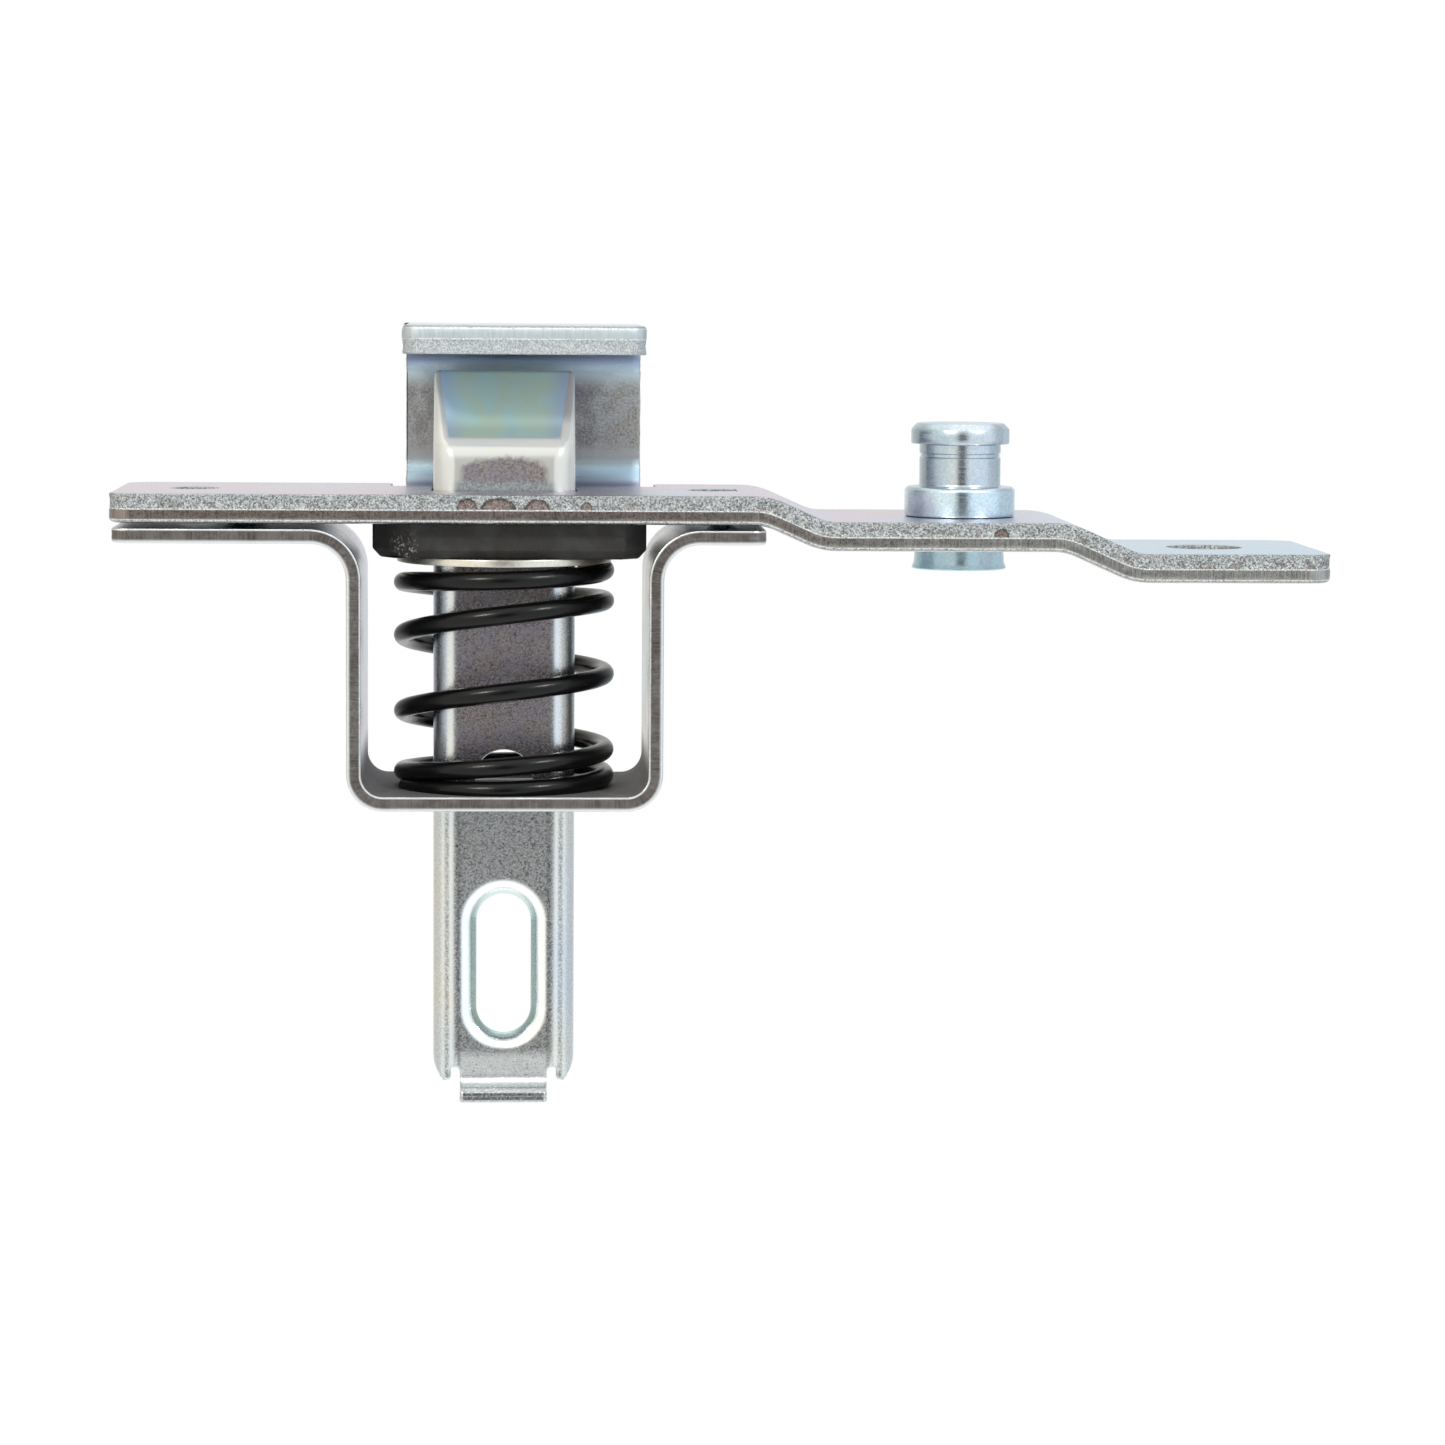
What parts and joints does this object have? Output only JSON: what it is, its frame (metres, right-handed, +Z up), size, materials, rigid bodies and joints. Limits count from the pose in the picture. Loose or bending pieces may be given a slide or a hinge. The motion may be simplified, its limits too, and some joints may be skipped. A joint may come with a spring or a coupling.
{
  "type": "sprung door catch hinge",
  "caption": "Cranked zinc-plated hinge plate with a keeper hook, a pivot stud and a spring-loaded ramped plunger in a bracket below it.",
  "frame": {"origin": "midway between the two fixing bolt holes, on the top face of the hinge plate", "axes": "+X along the plate towards its low end and the pivot stud, +Z up past the keeper hook along the plunger, -Y out of the hook's open side"},
  "size_m": [0.1676, 0.035, 0.1077],
  "materials": {
    "zinc_plate": "bright zinc plating with a pale blue tint",
    "zinc_bracket": "bright zinc plating over pressed sheet",
    "zinc_plunger": "zinc plating with blue and straw tints",
    "black_block": "matte moulded",
    "zinc_washer": "bright zinc plating",
    "black_spring": "satin black coated wire",
    "zinc_stud": "turned and zinc plated, pale blue"
  },
  "bodies": {
    "hinge_frame": {"hinge_plate": "zinc_plate", "spring_bracket": "zinc_bracket", "compression_spring": "black_spring", "pivot_stud": "zinc_stud"},
    "catch_plunger": {"plunger": "zinc_plunger", "buffer_block": "black_block", "spring_washer": "zinc_washer"}
  },
  "joints": [
    {"name": "plunger_slide", "type": "slide", "parent": "hinge_frame", "child": "catch_plunger", "axis": [0, 0, -1], "range_m": [0, 0.0164], "stiffness_N_per_m": 2500, "springref_m": -0.008, "deforming": ["compression_spring"]}
  ]
}
